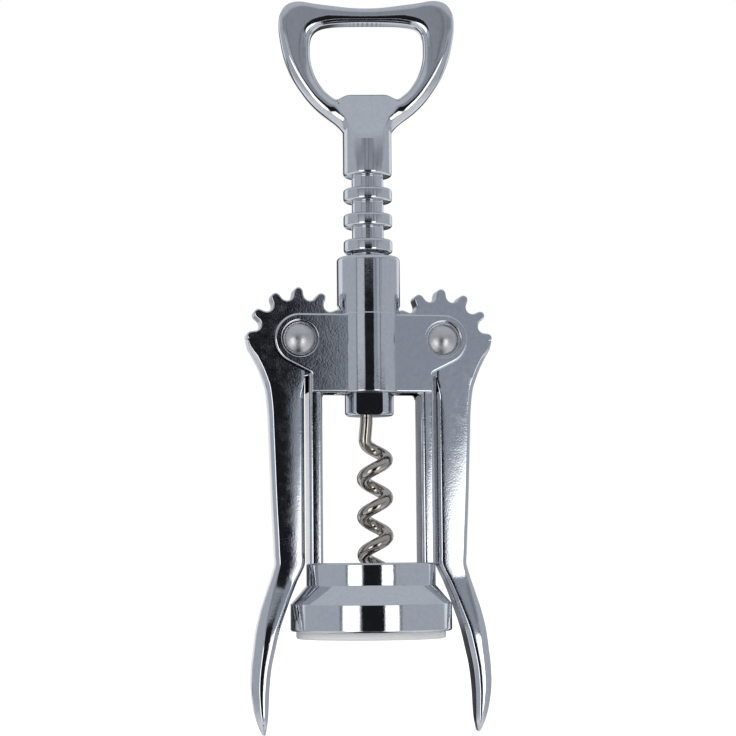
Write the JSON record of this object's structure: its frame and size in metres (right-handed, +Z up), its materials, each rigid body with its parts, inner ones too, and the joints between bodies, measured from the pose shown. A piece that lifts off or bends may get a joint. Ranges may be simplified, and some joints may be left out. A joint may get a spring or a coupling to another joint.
{
  "type": "wing corkscrew",
  "caption": "Wing corkscrew: a ringed spindle with an opener handle and worm slides in a barrel over a bell, and toothed levers swing out at its sides.",
  "frame": {"origin": "centre of the mouth of the neck ring, in the plane that meets a bottle's neck", "axes": "+Z up along the spindle towards the handle, -Y towards the front, +X to the right seen from the front"},
  "size_m": [0.0606, 0.0392, 0.179],
  "materials": {
    "frame_chrome": "bright nickel and chrome plating on a zinc casting",
    "ring_plastic": "milky white moulded plastic",
    "rivet_metal": "satin, unplated domed head",
    "spindle_chrome": "bright plating on a zinc casting",
    "worm_steel": "nickel-plated steel wire",
    "lever_chrome": "bright plating on a zinc casting"
  },
  "bodies": {
    "frame": {"frame": "frame_chrome", "neck_ring": "ring_plastic", "pivot_rivets": "rivet_metal"},
    "spindle": {"spindle": "spindle_chrome", "worm": "worm_steel"},
    "left_lever": {"left_lever": "lever_chrome"},
    "right_lever": {"right_lever": "lever_chrome"}
  },
  "joints": [
    {"name": "spindle_slide", "type": "slide", "parent": "frame", "child": "spindle", "axis": [0, 0, -1], "range_m": [0, 0.03]},
    {"name": "left_lever_swing", "type": "hinge", "parent": "frame", "child": "left_lever", "pos_m": [-0.0176, 0, 0.0721], "axis": [0, 1, 0], "range_deg": [0, 136]},
    {"name": "right_lever_swing", "type": "hinge", "parent": "frame", "child": "right_lever", "pos_m": [0.0176, 0, 0.0721], "axis": [0, -1, 0], "range_deg": [0, 136]}
  ],
  "couplings": [
    {"joint": "left_lever_swing", "follows": "spindle_slide", "rad_per_m": 79.008},
    {"joint": "right_lever_swing", "follows": "spindle_slide", "rad_per_m": 79.008}
  ]
}
